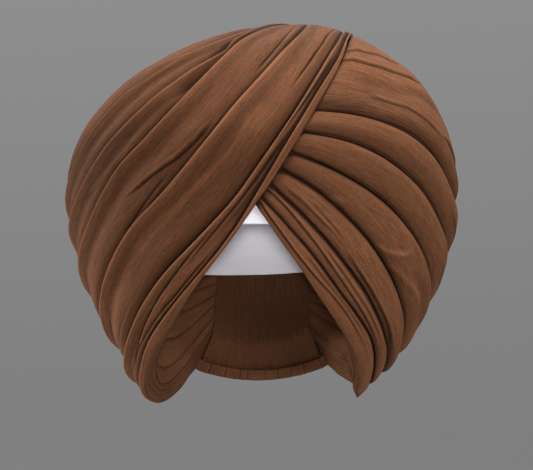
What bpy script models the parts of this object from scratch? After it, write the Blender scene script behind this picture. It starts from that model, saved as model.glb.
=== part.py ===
"""Tied turban pagri: a long brown cotton cloth wound over a close white under-cap.

Frame: the front faces -Y, +X is the viewer's right and +Z is up. The origin is the middle of
the head hollow at brow level, and z = 0 is the lower edge of the white cap at the forehead.
Sizes are millimetres here and become metres when a mesh is made.

How it is built: a wrap is a wound band of cloth between two fold lines. A fold line crosses a
few named stations, and each station is an arc over the form from a near end (the face
opening) to a far end (the crown and back). A fold's place at a station is a fraction of it.
"""

import math

import bmesh
import bpy
import numpy as np

# Outer form: the surface that the ridges of the wraps touch
MIDDLE = np.array([4.5, 10.0, 10.0])  # every radius below is measured from this point
FORM_X = 4.5
FORM_Y = 10.0
FORM_Z = 20.0  # height of the widest level
HALF_WIDTH = 145.5
BACK_DEPTH = 140.0
FRONT_DEPTH_LOW = 120.0  # close to the forehead at brow level
FRONT_DEPTH_HIGH = 140.0  # the bulge above the forehead
CROWN_RISE = 128.5
CROWN_POWER = 1.9
DROP = 185.0
DROP_POWER = 1.6
TOP_FORWARD = 22.0  # the top leans to the front
TOP_RIGHT = 20.0  # and to the viewer's right
FOOT_LEFT = 4.0

# Head hollow
HEAD_HALF_WIDTH = 76.0
HEAD_FRONT = 96.0
HEAD_CHEEK = 78.0  # front of the hollow at cheek level
HEAD_BACK = 97.0
HEAD_NAPE = 74.0  # back of the hollow at nape level
HEAD_Y = -2.0
HEAD_Z = -10.0
HEAD_CROWN = 90.0
HEAD_DROP = 217.0

# Cloth
GAP = 0.6  # between neighbours
CAP_WALL = 1.4
CAP_ROOM = 2.8  # from the cap to the windings
CAP_BACK_RIM = -31.0  # elevation of the cap's lower edge at the back, seen from the middle
COVER_WALL = 2.6
COVER_LAP = 11.0  # how far the cover lies over the wraps round it
EDGE_LEVEL = -5.4  # the wraps' height where they lie under the cover or the front band
EDGE_RISE = 14.0  # and the distance in which they come up again
SLANT = 0.6  # how far a layer runs on under its neighbour, as a share of that neighbour
SLANT_MOST = 26.0  # and at most this far

# Sampling
ALONG = (0, 0.03, 0.08, 0.14, 0.2, 0.27, 0.34, 0.41, 0.47, 0.53, 0.6, 0.67, 0.74, 0.81, 0.88, 0.94, 1)
COVER_COLUMNS = 9
ACROSS = (0.0, 0.1, 0.26, 0.44, 0.62, 0.8, 0.93, 1.0)
INNER_STEP = 15.0  # between the points along the hollow

# Stations of the left wraps, in degrees: azimuth from the front, then elevation
# name, near azimuth, near elevation, far azimuth, far elevation
LEFT_STATIONS = (
    ("ridge", 100, 59.5, -131, 76),
    ("shoulder", 45, 51.3, -122, 66),
    ("crown", 16, 28.0, -112, 50),
    ("apex", -1.5, 0, -114, 30),
    ("temple", -28, -30, -121, 8),
    ("cheek", -60, -50.5, -131, -10),
    ("tip", -104, -61.5, -143, -20),
    ("nape", -147, -53, -158, -22),
)
RIGHT_STATIONS = (
    ("crossing", -1.5, 0, 100, 59.5),
    ("brow", 6, -11, 103, 50),
    ("temple", 18, -25, 108, 38),
    ("cheek", 38, -42, 115, 22),
    ("tip", 69, -60.5, 126, 4),
    ("ear", 110, -60, 138, -10),
    ("nape", 147, -53, 155, -22),
)

# Fold lines: the fraction of each station, from the near end (0) to the far end (1)
LEFT_FOLDS = {
    # fold: ridge, shoulder, crown, apex, temple, cheek, tip, nape
    "opening": (0.0, 0.0, 0.0, 0.0, 0.0, 0.0, 0.0, 0.0),
    "pleat": (0.05, 0.04, 0.024, 0.024, 0.036, 0.036, 0.06, 0.13),
    "band": (0.11, 0.085, 0.05, 0.068, 0.143, 0.165, 0.2, 0.29),
    "fourth": (0.33, 0.31, 0.213, 0.237, 0.335, 0.36, 0.38, 0.44),
    "third": (0.43, 0.41, 0.335, 0.36, 0.52, 0.575, 0.58, 0.59),
    "second": (0.47, 0.45, 0.36, 0.437, 0.66, 0.71, 0.72, 0.72),
    "first": (0.51, 0.49, 0.385, 0.548, 0.735, 0.82, 0.84, 0.84),
    "far": (1.0, 1.0, 1.0, 1.0, 1.0, 1.0, 1.0, 1.0),
}
RIGHT_FOLDS = {
    # fold: crossing, brow, temple, cheek, tip, ear, nape
    "opening": (0.0, 0.0, 0.0, 0.0, 0.0, 0.0, 0.0),
    "sixth": (0.042, 0.048, 0.052, 0.052, 0.06, 0.08, 0.12),
    "fifth": (0.09, 0.112, 0.122, 0.13, 0.14, 0.18, 0.25),
    "fourth": (0.138, 0.197, 0.231, 0.231, 0.225, 0.28, 0.36),
    "third": (0.19, 0.276, 0.355, 0.386, 0.375, 0.42, 0.48),
    "second": (0.248, 0.362, 0.463, 0.52, 0.54, 0.57, 0.61),
    "first": (0.32, 0.45, 0.578, 0.68, 0.74, 0.77, 0.77),
    "far": (1.0, 1.0, 1.0, 1.0, 1.0, 1.0, 1.0),
}

# Wraps: the side that goes under its neighbour, the free side that lies on top, how far the
# free side stands off the form, how far the other side sinks, the swell between them, and how
# far the rolled edge hangs over
# name, under side, free side, lift, sink, swell, overhang
LEFT_WRAPS = (
    ("left_wrap_1", "first", "far", -0.5, 5.0, 3.0, 0.0),
    ("left_wrap_2", "second", "first", 0.0, 6.0, 1.0, 2.0),
    ("left_wrap_3", "third", "second", 0.5, 6.5, 1.0, 2.2),
    ("left_wrap_4", "fourth", "third", 0.5, 7.0, 1.5, 2.4),
    ("left_wrap_5", "band", "fourth", 1.0, 7.5, 1.5, 2.4),
    ("front_band", "pleat", "band", 3.5, 3.5, 0.8, 1.5),
    ("front_pleat", "opening", "pleat", 3.5, 1.0, 0.6, 1.2),
)
RIGHT_WRAPS = (
    ("right_wrap_1", "far", "first", 1.0, 3.0, 3.5, 3.0),
    ("right_wrap_2", "first", "second", 0.5, 7.5, 2.0, 3.0),
    ("right_wrap_3", "second", "third", 0.5, 7.5, 2.0, 2.8),
    ("right_wrap_4", "third", "fourth", 0.0, 7.0, 1.8, 2.6),
    ("right_wrap_5", "fourth", "fifth", -0.5, 5.5, 1.4, 2.2),
    ("right_wrap_6", "fifth", "sixth", -1.5, 3.5, 0.8, 1.4),
    ("right_wrap_7", "sixth", "opening", -2.5, 2.5, 0.5, 0.0),
)

# Soft pleats pressed into a wrap: where across it they start and end (0 under side, 1 free
# side), between which shares of its length, how deep and how wide they are
# wrap, across at start, across at end, from, to, depth, width
PLEATS = (
    ("left_wrap_1", 0.45, 0.20, 0.10, 0.60, 1.6, 0.10),
    ("left_wrap_1", 0.70, 0.55, 0.15, 0.75, 1.2, 0.12),
    ("left_wrap_4", 0.75, 0.50, 0.25, 0.62, 1.6, 0.16),
    ("left_wrap_5", 0.62, 0.60, 0.12, 0.62, 1.5, 0.14),
    ("left_wrap_5", 0.30, 0.34, 0.10, 0.55, 1.2, 0.14),
    ("front_band", 0.80, 0.45, 0.42, 0.90, 2.0, 0.16),
    ("right_wrap_1", 0.72, 0.70, 0.05, 0.50, 1.8, 0.10),
    ("right_wrap_1", 0.52, 0.56, 0.08, 0.45, 1.5, 0.10),
    ("right_wrap_6", 0.45, 0.55, 0.28, 0.70, 1.0, 0.18),
)

CLOTH_COLOUR = (0.13, 0.065, 0.038, 1.0)
CAP_COLOUR = (0.80, 0.78, 0.80, 1.0)


def smooth(x):
    x = np.clip(x, 0.0, 1.0)
    return x * x * (3.0 - 2.0 * x)


def unit(vectors):
    return vectors / np.linalg.norm(vectors, axis=-1, keepdims=True)


def heading(azimuth, elevation):
    """The direction at this azimuth (0 is the front, 90 the viewer's right) and elevation."""
    a = np.radians(azimuth)
    e = np.radians(elevation)
    return np.stack([np.sin(a) * np.cos(e), -np.cos(a) * np.cos(e), np.sin(e)], -1)


def turned(start, end, share):
    """Directions a share of the way along the arc from start to end."""
    angle = np.arccos(np.clip((start * end).sum(-1), -1.0, 1.0))[..., None]
    share = np.asarray(share)[..., None]
    return unit(start * np.sin((1 - share) * angle) + end * np.sin(share * angle))


def spline(knots, at):
    """Catmull-Rom curve through the knots, at places from 0 to the last knot's number."""
    knots = np.asarray(knots, float).reshape(len(knots), -1)
    more = np.vstack([2 * knots[0] - knots[1], knots, 2 * knots[-1] - knots[-2]])
    i = np.clip(np.floor(at).astype(int), 0, len(knots) - 2)
    u = (at - i)[:, None]
    a, b, c, d = more[i], more[i + 1], more[i + 2], more[i + 3]
    linear = (c - a) * u
    square = (2 * a - 5 * b + 4 * c - d) * u**2
    cube = (3 * b - a - 3 * c + d) * u**3
    return 0.5 * (2 * b + linear + square + cube)


def outside_form(p):
    """Over 0 outside the outer form, under 0 inside it."""
    up = p[..., 2] - FORM_Z
    x = p[..., 0] - FORM_X - TOP_RIGHT * np.clip(up / 128, 0, 1) ** 3 + FOOT_LEFT * smooth(-up / 130)
    y = p[..., 1] - FORM_Y + TOP_FORWARD * smooth(up / 110)
    front = FRONT_DEPTH_LOW + (FRONT_DEPTH_HIGH - FRONT_DEPTH_LOW) * smooth((p[..., 2] + 5) / 75)
    depth = np.where(y < 0, front, BACK_DEPTH)
    rise = (np.abs(up) / CROWN_RISE) ** CROWN_POWER
    drop = (np.abs(up) / DROP) ** DROP_POWER
    return (x / HALF_WIDTH) ** 2 + (y / depth) ** 2 + np.where(up > 0, rise, drop) - 1


def outside_head(p):
    """Over 0 outside the head hollow, under 0 inside it."""
    up = p[..., 2] - HEAD_Z
    y = p[..., 1] - HEAD_Y
    front = HEAD_FRONT - (HEAD_FRONT - HEAD_CHEEK) * smooth(-up / 70)
    back = HEAD_BACK - (HEAD_BACK - HEAD_NAPE) * smooth(-up / 100)
    depth = np.where(y < 0, front, back)
    rise = (np.abs(up) / HEAD_CROWN) ** 2
    drop = (np.abs(up) / HEAD_DROP) ** 2.4
    return (p[..., 0] / HEAD_HALF_WIDTH) ** 2 + (y / depth) ** 2 + np.where(up > 0, rise, drop) - 1


def reach(outside, headings):
    """How far a surface lies from the middle in each direction, by halving."""
    low = np.zeros(headings.shape[:-1])
    high = np.full(headings.shape[:-1], 400.0)
    for _ in range(34):
        half = (low + high) / 2
        within = outside(MIDDLE + headings * half[..., None]) < 0
        low = np.where(within, half, low)
        high = np.where(within, high, half)
    return (low + high) / 2


def form_radius(headings):
    return reach(outside_form, headings)


def hollow_radius(headings):
    """The inner face of the windings."""
    return reach(outside_head, headings) + CAP_WALL + CAP_ROOM


class Family:
    """The wraps of one side: the arcs that they cross, and their fold lines."""

    def __init__(self, stations, folds):
        self.last = len(stations) - 1
        self.near = [heading(row[1], row[2]) for row in stations]
        self.far = [heading(row[3], row[4]) for row in stations]
        self.folds = folds

    def edges(self, along):
        """The near and the far end of the arc at each share of the length."""
        at = np.asarray(along, float) * self.last
        near = unit(spline(self.near, at))
        if self is LEFT:
            above = at <= APEX_STATION
            near[above] = unit(near[above] - CROSSING * (near[above] @ CROSSING)[:, None])
        return near, unit(spline(self.far, at))

    def fold(self, name, along):
        at = np.asarray(along, float) * self.last
        return spline(self.folds[name], at)[:, 0]


APEX_STATION = 3.0
LEFT = Family(LEFT_STATIONS, LEFT_FOLDS)
RIGHT = Family(RIGHT_STATIONS, RIGHT_FOLDS)
# The plane in which the right wraps go under the front band, from the apex to the ridge
CROSSING = unit(np.cross(heading(-1.5, 0), heading(100, 59.5)))


def pleat_depth(name, along, across):
    """How deep the soft pleats press the wrap in, at each place."""
    depth = np.zeros_like(across)
    for wrap, start, end, first, last, deep, wide in PLEATS:
        if wrap != name:
            continue
        share = np.clip((along - first) / (last - first), 0, 1)
        centre = start + (end - start) * share
        fade = smooth((along - first) / 0.08) * smooth((last - along) / 0.08)
        depth += deep * fade * np.exp(-(((across - centre) / wide) ** 2))
    return depth


def neighbours(family, name):
    """The fold before this one and the fold after it, in fractions from near to far."""
    names = list(family.folds)
    i = names.index(name)
    return names[max(i - 1, 0)], names[min(i + 1, len(names) - 1)]


def buried(family, name, along, width):
    """Where the slanted joint below a fold meets the hollow: it runs on under the wrap on top."""
    here = family.fold(name, along)
    if name in ("opening", "far"):
        return here
    before, after = neighbours(family, name)
    if family is LEFT:
        return here - np.minimum(SLANT * (here - family.fold(before, along)), SLANT_MOST / width)
    return here + np.minimum(SLANT * (family.fold(after, along) - here), SLANT_MOST / width)


def edge_fall(family, headings, fraction, width):
    """1 where a wrap lies under the cover or the front band, 0 where it is free of them."""
    _, far = family.edges(np.array([0.0, 1.0]))
    near, _ = family.edges(np.array([0.0, 1.0]))
    last = unit(np.cross(near[1], far[1]))
    from_last = np.abs(headings @ last) * 140.0
    from_far = (1 - fraction) * width
    lap = COVER_LAP + 3.0
    if family is LEFT:
        first = unit(np.cross(near[0], far[0]))
        from_first = np.abs(headings @ first) * 140.0
    else:
        # the front band hangs over less than the cover does
        from_first = np.abs(headings @ CROSSING) * 140.0 + lap - 4.0
    nearest = np.minimum(np.minimum(from_first, from_last), from_far)
    return smooth(1 - (nearest - lap) / EDGE_RISE)


def wrap_rings(family, row, along):
    """One ring of points for each share of the length: over the outside, round the rolled
    edge, in along the joint, back along the hollow."""
    name, under, free, lift, sink, swell, hang = row
    near, far = family.edges(along)
    width = np.arccos(np.clip((near * far).sum(-1), -1, 1)) * 140.0  # of the whole station
    f_under = family.fold(under, along)
    f_free = family.fold(free, along)
    own = np.abs(f_free - f_under) * width
    side = 1.0 if free == "far" or (family is LEFT and under != "far") else -1.0
    sink_here = np.minimum(sink, 0.32 * own)
    rows = {r[1]: r for r in (LEFT_WRAPS if family is LEFT else RIGHT_WRAPS)}
    gap = side * GAP / 2 / width

    def places(fraction):
        return turned(near, far, fraction)

    def outer(u):
        fraction = f_under + gap + (f_free - f_under - 2 * gap) * u
        headings = places(fraction)
        top = lift - sink_here * (1 - u) ** 1.7 + swell * np.minimum(own / 30, 1) * 4 * u * (1 - u)
        top = top - pleat_depth(name, along, np.full_like(along, u))
        fall = edge_fall(family, headings, fraction, width)
        top = top * (1 - fall) + EDGE_LEVEL * fall
        return headings, form_radius(headings) + top

    points = []
    for u in ACROSS:
        points.append(outer(u))
    below = None if free in ("far", "opening") else rows[free]
    top_headings, top_radius = outer(1.0)
    if below is not None and hang > 0:
        n_under = family.fold(below[1], along)
        n_free = family.fold(below[2], along)
        n_sink = np.minimum(below[4], 0.32 * np.abs(n_free - n_under) * width)
        fall = edge_fall(family, places(f_free), f_free, width)
        foot = form_radius(places(f_free)) + GAP * 2
        foot = foot + (below[3] - n_sink) * (1 - fall) + EDGE_LEVEL * fall
        foot = np.minimum(foot, top_radius - 0.9)
        step = top_radius - foot
        reach_out = np.minimum(hang, 0.09 * np.abs(n_free - n_under) * width)
        reach_out = np.minimum(reach_out, 0.5 * (step - 0.9))
        for share, drop in ((1.0, 0.3), (0.85, 0.58)):
            headings = places(f_free - gap + side * share * reach_out / width)
            points.append((headings, top_radius - drop * step))
        points.append((places(f_free - gap), foot))
    else:
        points.append((places(f_free - gap), top_radius - 2.0))
    inner_free = buried(family, free, along, width)
    inner_under = buried(family, under, along, width)
    inner_gap = gap * 2
    count = 2 + int(own.max() * 0.68 / INNER_STEP)
    for u in np.linspace(0.0, 1.0, count):
        fraction = inner_free - inner_gap + (inner_under - inner_free + 2 * inner_gap) * u
        headings = places(fraction)
        points.append((headings, hollow_radius(headings)))
    rings = np.stack([MIDDLE + h * r[:, None] for h, r in points], axis=1)
    return rings, len(points) - count - 1


def closed_tube(rings, joints=()):
    """Vertices and triangles of a tube through the rings, with both ends closed. On the joints
    the quads are cut from the outer to the inner point, so that two neighbours agree."""
    rows, count = rings.shape[:2]
    faces = []
    for j in range(rows - 1):
        for k in range(count):
            a, b = j * count + k, j * count + (k + 1) % count
            c, d = a + count, b + count
            if k in joints:
                faces += [(a, b, c), (b, d, c)]
            else:
                faces += [(a, b, d), (a, d, c)]
    faces.append(tuple(range(count - 1, -1, -1)))
    faces.append(tuple((rows - 1) * count + k for k in range(count)))
    return rings.reshape(-1, 3), faces


def material(name, colour, roughness):
    made = bpy.data.materials.new(name)
    made.use_nodes = True
    shader = made.node_tree.nodes["Principled BSDF"]
    shader.inputs["Base Color"].default_value = colour
    shader.inputs["Roughness"].default_value = roughness
    return made


def add_object(name, points, faces, coat):
    mesh = bpy.data.meshes.new(name)
    mesh.from_pydata([tuple(p) for p in points / 1000.0], [], faces)
    shape = bmesh.new()
    shape.from_mesh(mesh)
    bmesh.ops.triangulate(shape, faces=[f for f in shape.faces if len(f.verts) > 3])
    if shape.calc_volume(signed=True) < 0:
        bmesh.ops.reverse_faces(shape, faces=shape.faces)
    shape.to_mesh(mesh)
    shape.free()
    mesh.materials.append(coat)
    made = bpy.data.objects.new(name, mesh)
    bpy.data.collections["turban"].objects.link(made)
    return made


def add_wrap(family, row, coat):
    rings, joint = wrap_rings(family, row, np.array(ALONG, float))
    if family is RIGHT:
        # the ends stop just short of the front band's side
        away = CROSSING * np.sign((rings[4, 0] - MIDDLE) @ CROSSING)
        rings[0] += away * GAP
    points, faces = closed_tube(rings, joints=(joint,))
    return add_object(row[0], points, faces, coat)


def patch_edges():
    """The left and the right edge of the back: down each family's far edge, then along its
    last arc to the rim."""
    down = np.array(ALONG, float)
    round_rim = np.linspace(1.0, 0.0, 6)[1:]
    sides = []
    for family in (LEFT, RIGHT):
        _, far = family.edges(down)
        near_last, far_last = family.edges(np.ones(len(round_rim)))
        sides.append(np.vstack([far, turned(near_last, far_last, round_rim)]))
    return sides


def back_grid(columns):
    """Headings over the crown and back, a gap short of the wraps round it, and the directions
    that lead out of it at its left edge, its right edge and its front."""
    left, right = patch_edges()
    outward = []
    for edge, sign in ((left, 1.0), (right, -1.0)):
        run = np.gradient(edge, axis=0)
        outward.append(sign * unit(np.cross(edge, run)))
    front = unit(np.cross(right[0], left[0]))
    outward.append(front * -np.sign(front[1]))
    shares = np.linspace(0.0, 1.0, columns)
    rows = []
    for a, b in zip(left, right):
        rows.append(turned(np.tile(a, (columns, 1)), np.tile(b, (columns, 1)), shares))
    grid = np.array(rows)
    step = 3.3 * GAP / 140.0
    grid[:, 0] = unit(grid[:, 0] - step * outward[0])
    grid[:, -1] = unit(grid[:, -1] - step * outward[1])
    grid[0] = unit(grid[0] - step * outward[2])
    return grid, outward


def with_lap(grid, outward, distance):
    """The same grid with a further column on each side and a further row in front."""
    step = distance / 140.0
    left, right, front = outward
    wider = np.concatenate([grid[:, :1], grid, grid[:, -1:]], axis=1)
    wider[:, 0] += step * left
    wider[:, -1] += step * right
    first = np.concatenate([grid[:1, :1], grid[:1], grid[:1, -1:]], axis=1)
    first[0, 1:-1] += step * front
    first[0, 0] += step * (left[0] + front) / (1 + left[0] @ front)  # mitred corners
    first[0, -1] += step * (right[0] + front) / (1 + right[0] @ front)
    return unit(np.concatenate([first, wider], axis=0))


def slab(grid, outer, inner):
    """A closed sheet between two radii over a grid of headings."""
    rows, columns = grid.shape[:2]
    top = (MIDDLE + grid * outer[..., None]).reshape(-1, 3)
    under = (MIDDLE + grid * inner[..., None]).reshape(-1, 3)
    n = rows * columns
    faces = []
    for j in range(rows - 1):
        for k in range(columns - 1):
            a = j * columns + k
            b, c, d = a + 1, a + columns + 1, a + columns
            faces += [(a, b, c), (a, c, d), (n + a, n + c, n + b), (n + a, n + d, n + c)]
    rim = [k for k in range(columns)]
    rim += [j * columns + columns - 1 for j in range(1, rows)]
    rim += [(rows - 1) * columns + k for k in range(columns - 2, -1, -1)]
    rim += [j * columns for j in range(rows - 2, 0, -1)]
    for i, a in enumerate(rim):
        b = rim[(i + 1) % len(rim)]
        if b > a:
            faces += [(a, n + a, b), (n + a, n + b, b)]
        else:
            faces += [(a, n + a, n + b), (a, n + b, b)]
    return np.vstack([top, under]), faces


def add_back(coat):
    grid, outward = back_grid(COVER_COLUMNS)
    top = form_radius(grid) - COVER_WALL - 2 * GAP
    points, faces = slab(grid, top, hollow_radius(grid))
    add_object("back_winding", points, faces, coat)
    grid = with_lap(grid, outward, COVER_LAP)
    top = form_radius(grid)
    points, faces = slab(grid, top, top - COVER_WALL)
    add_object("crown_cover", points, faces, coat)


def front_rim():
    """The elevation, from the middle, of the cap's outer surface at the forehead at z = 0."""
    low, high = -30.0, 0.0
    for _ in range(30):
        half = (low + high) / 2
        straight = heading(np.array([0.0]), np.array([half]))
        radius = reach(outside_head, straight)[0] + CAP_WALL
        if MIDDLE[2] + straight[0, 2] * radius < 0:
            low = half
        else:
            high = half
    return half


def add_cap(coat):
    """A close cap: rings from its rim up to the crown. The rim is level at the forehead, where
    it is z = 0, and lower behind the ears."""
    count, levels = 26, 7
    azimuth = np.linspace(0, 360, count, endpoint=False)
    rim = front_rim() + (CAP_BACK_RIM - front_rim()) * smooth((np.abs(azimuth - 180) - 160) / -130)
    outer, inner = [], []
    for level in range(levels):
        headings = heading(azimuth, rim + (90 - rim) * level / levels)
        radius = reach(outside_head, headings)
        outer.append(MIDDLE + headings * (radius + CAP_WALL)[:, None])
        inner.append(MIDDLE + headings * radius[:, None])
    top = reach(outside_head, heading(np.array([0.0]), np.array([90.0])))
    points = np.vstack(outer + inner)
    n = levels * count
    points = np.vstack([points, MIDDLE + [0, 0, top[0] + CAP_WALL], MIDDLE + [0, 0, top[0]]])
    faces = []
    for j in range(levels - 1):
        for k in range(count):
            a, b = j * count + k, j * count + (k + 1) % count
            c, d = a + count, b + count
            faces += [(a, b, d), (a, d, c), (n + a, n + d, n + b), (n + a, n + c, n + d)]
    last = (levels - 1) * count
    for k in range(count):
        a, b = last + k, last + (k + 1) % count
        faces += [(a, b, 2 * n), (n + b, n + a, 2 * n + 1)]
        a, b = k, (k + 1) % count
        faces += [(a, n + a, n + b), (a, n + b, b)]
    add_object("under_cap", points, faces, coat)


def main():
    for old in list(bpy.data.objects):
        bpy.data.objects.remove(old, do_unlink=True)
    collection = bpy.data.collections.new("turban")
    bpy.context.scene.collection.children.link(collection)
    cloth = material("turban_cloth", CLOTH_COLOUR, 0.85)
    white = material("cap_cloth", CAP_COLOUR, 0.8)
    for row in LEFT_WRAPS:
        add_wrap(LEFT, row, cloth)
    for row in RIGHT_WRAPS:
        add_wrap(RIGHT, row, cloth)
    add_back(cloth)
    add_cap(white)


main()
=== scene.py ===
"""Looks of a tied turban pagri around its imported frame.

A long brown cotton cloth is wound over a close white under-cap. Every wrap is modelled again here
as a fine closed band: an outer face with creases and wrinkles, a rolled edge that hangs over the
wrap below it, slanted joints, and an inner face on the head hollow. The wraps follow the same
form and fold lines as the frame, with the fold lines measured at more places.

Lengths are millimetres in the tables and become metres when a mesh is made.
"""

import math

import bmesh
import bpy
import numpy as np
from bpy.props import FloatProperty, FloatVectorProperty, PointerProperty
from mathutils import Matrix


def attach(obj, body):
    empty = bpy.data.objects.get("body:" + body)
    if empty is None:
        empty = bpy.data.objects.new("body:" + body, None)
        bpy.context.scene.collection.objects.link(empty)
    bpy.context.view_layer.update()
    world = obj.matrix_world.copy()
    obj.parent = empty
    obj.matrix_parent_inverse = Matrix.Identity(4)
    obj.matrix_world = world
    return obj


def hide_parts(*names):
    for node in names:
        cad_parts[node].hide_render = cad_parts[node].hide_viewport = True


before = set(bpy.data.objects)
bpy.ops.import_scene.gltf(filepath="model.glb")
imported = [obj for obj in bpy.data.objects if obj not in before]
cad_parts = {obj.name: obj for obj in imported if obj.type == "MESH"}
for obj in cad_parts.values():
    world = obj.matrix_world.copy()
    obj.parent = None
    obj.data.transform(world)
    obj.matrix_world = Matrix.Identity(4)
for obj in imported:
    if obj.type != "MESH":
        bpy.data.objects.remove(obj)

bl_info = {
    "name": "Tied Turban",
    "version": (1, 0, 0),
    "blender": (4, 5, 0),
    "location": "View3D > Sidebar > Turban",
    "description": "Builds a wound turban, its under-cap, floor and lights around a packed frame",
    "category": "Object",
}

# Outer form: the surface that the ridges of the wraps touch
MIDDLE = np.array([4.5, 10.0, 10.0])  # every radius below is measured from this point
FORM_X = 4.5
FORM_Y = 10.0
FORM_Z = 20.0
HALF_WIDTH = 145.5
BACK_DEPTH = 140.0
FRONT_DEPTH_LOW = 120.0
FRONT_DEPTH_HIGH = 140.0
CROWN_RISE = 126.5
CROWN_POWER = 2.0
DROP = 185.0
DROP_POWER = 1.6
TOP_FORWARD = 22.0
TOP_RIGHT = 20.0
FOOT_LEFT = 4.0

# Head hollow
HEAD_HALF_WIDTH = 76.0
HEAD_FRONT = 96.0
HEAD_CHEEK = 78.0
HEAD_BACK = 97.0
HEAD_NAPE = 74.0
HEAD_Y = -2.0
HEAD_Z = -10.0
HEAD_CROWN = 90.0
HEAD_DROP = 217.0

# Cloth
GAP = 0.6
HANG_SHARE = 0.85  # a joint lies this share of the hang behind its rolled edge
LEAST_STEP = 0.9  # between a rolled edge's top and the wrap below it
CAP_WALL = 1.4
CAP_ROOM = 2.8
CAP_BACK_RIM = -31.0
COVER_LAP = 6.0
COVER_THICK = 1.6
EDGE_LEVEL = -4.8  # of the wraps where they lie under the cover
EDGE_RISE = 5.0  # the distance over which they come up to it
TURN_RADIUS = 3.0  # of the cover's edge at the nape
BACK_SINK = 6.6  # of the back winding under the form
HEM = 7.0
HEM_RISE = 0.35
CORNER = 3.6  # of the wall at the face opening
INNER_CORNER = 2.5
SLANT = 0.6
SLANT_MOST = 26.0
TOUCH = 0.7  # between a rolled edge and the wrap that it rests on
LAYER = 4.4  # one wound layer, where the face opening shows their edges
ARC_RADIUS = 140.0  # turns an angle over the form into millimetres

# Outer face of a wrap. A run is the distance over which something falls off
FULL_WIDTH = 30.0  # a narrower wrap has smaller runs
LEFT_SINK_RUN = 5.0
RIGHT_SINK_RUN = 3.0
ROUND_RUN = 13.0
LIP_RISE = 1.2
LIP_RUN = 1.5
VALLEY_DEPTH = 3.4  # behind the lip of a left wrap
VALLEY_PLACE = 11.0
VALLEY_RUN = 7.5
CALM_TOP = -25.0  # elevation under which the wrinkles get lower
CALM_RUN = 20.0
CREASE_FADE = 0.22  # share of a crease's length over which each end fades
STEP_LIP = 0.3  # how high a step's upper side rises, as a share of its depth
STEP_LIP_RUN = 2.5
STEP_DROP_RUN = 0.9
# how deep a step must be for its painted shade and highlight to show in full
FULL_TONE_DEPTH = 1.5  # a step this deep shows in full

# Where the right wraps go under the front band: their greatest height, lower under an elevation
CROSS_LEVEL = -1.7
CROSS_DEEPER = 5.0
CROSS_SLOPE = 1.8
CROSS_CALMER = 0.9
CROSS_TOP = 22.0
# elevation under which the painted shade beside the front band deepens
CROSS_SHADE_TOP = 24.0
CROSS_RUN = 14.0
TUCK = 1.8  # how far the right wraps' ends go in under the band
TUCK_RUN = 30.0

# The front band: its lift over the form at the ridge, and its round side over the right wraps
BAND_TOP = 48.0
BAND_TOP_RUN = 20.0
BAND_TOP_LIFT = 0.4
BAND_SIDE = 1.1
BAND_SIDE_TOP = 1.3
BAND_OVERHANG = 1.3

# Sampling
ROW_STEP = 1.8  # between the rings of a wrap
OUTER_STEP = 0.75  # across its outer face
INNER_STEP = 6.0  # across its inner face
ROLL_POINTS = 12
JOINT_POINTS = 6
JOINT_KINK = 3.0
WALL_POINTS = 34
CAP_COLUMNS = 180
CAP_ROWS = 56

# name, near azimuth, near elevation, far azimuth, far elevation
LEFT_STATIONS = (
    ("ridge", 100, 59.5, -131, 76),
    ("shoulder", 45, 51.3, -122, 66),
    ("crown", 16, 28.0, -112, 50),
    ("apex", -1.5, 0, -114, 30),
    ("temple", -28, -30, -121, 8),
    ("cheek", -60, -50.5, -131, -10),
    ("tip", -104, -61.5, -143, -20),
    ("nape", -147, -53, -158, -22),
)
RIGHT_STATIONS = (
    ("crossing", -1.5, 0, 100, 59.5),
    ("brow", 6, -11, 103, 50),
    ("temple", 18, -25, 108, 38),
    ("cheek", 38, -42, 115, 22),
    ("tip", 69, -60.5, 126, 4),
    ("ear", 110, -60, 138, -10),
    ("nape", 147, -53, 155, -22),
)

# Fold lines: places along, in stations, then thousandths of the station's arc at each place
LEFT_AT = (0, 1, 1.5, 2, 2.25, 2.5, 2.75, 3, 3.25, 3.5, 3.75, 4, 4.5, 5, 6, 7)
LEFT_FOLDS = {
    "opening": (40, 42, 6, 0, 0, 3, 7, 10, 8, 5, 5, 4, 2, -2, 0, 0),
    "pleat": (60, 58, 27, 21, 19, 20, 22, 24, 21, 20, 26, 36, 53, 36, 50, 120),
    "band": (110, 90, 61, 47.5, 46.5, 51, 60, 71, 86, 106, 130, 145, 158, 165, 200, 290),
    "fourth": (330, 285, 228, 195, 191, 195, 203, 229, 263, 307, 328, 339, 352, 360, 380, 440),
    "third": (430, 410, 385, 362, 337, 325, 332, 360, 415, 455, 484, 512, 548, 575, 580, 590),
    "second": (470, 450, 420, 385, 376, 382, 402, 437, 490, 545, 600, 655, 695, 710, 720, 720),
    "first": (510, 490, 460, 430, 452, 488, 520, 550, 592, 645, 695, 740, 790, 820, 840, 840),
    "far": (1000,) * 16,
}
RIGHT_AT = (0, 0.5, 1, 1.5, 2, 2.5, 3, 3.25, 3.5, 3.75, 4, 5, 6)
RIGHT_FOLDS = {
    "opening": (10, 8, 5, 3, -2, -10, -10, 0, 10, 6, -10, 0, 0),
    "sixth": (44, 52, 57, 61, 60, 58, 68, 81, 88, 86, 80, 80, 120),
    "fifth": (90, 102, 114, 120, 123, 125, 125, 133, 146, 150, 147, 180, 250),
    "fourth": (140, 172, 199, 218, 230, 231, 224, 222, 212, 212, 225, 280, 360),
    "third": (190, 232, 275, 318, 352, 371, 377, 382, 385, 380, 378, 420, 480),
    "second": (250, 308, 364, 416, 461, 488, 518, 527, 533, 537, 540, 570, 610),
    "first": (322, 388, 453, 518, 568, 602, 662, 690, 710, 725, 740, 770, 770),
    "far": (1000,) * 13,
}

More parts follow.
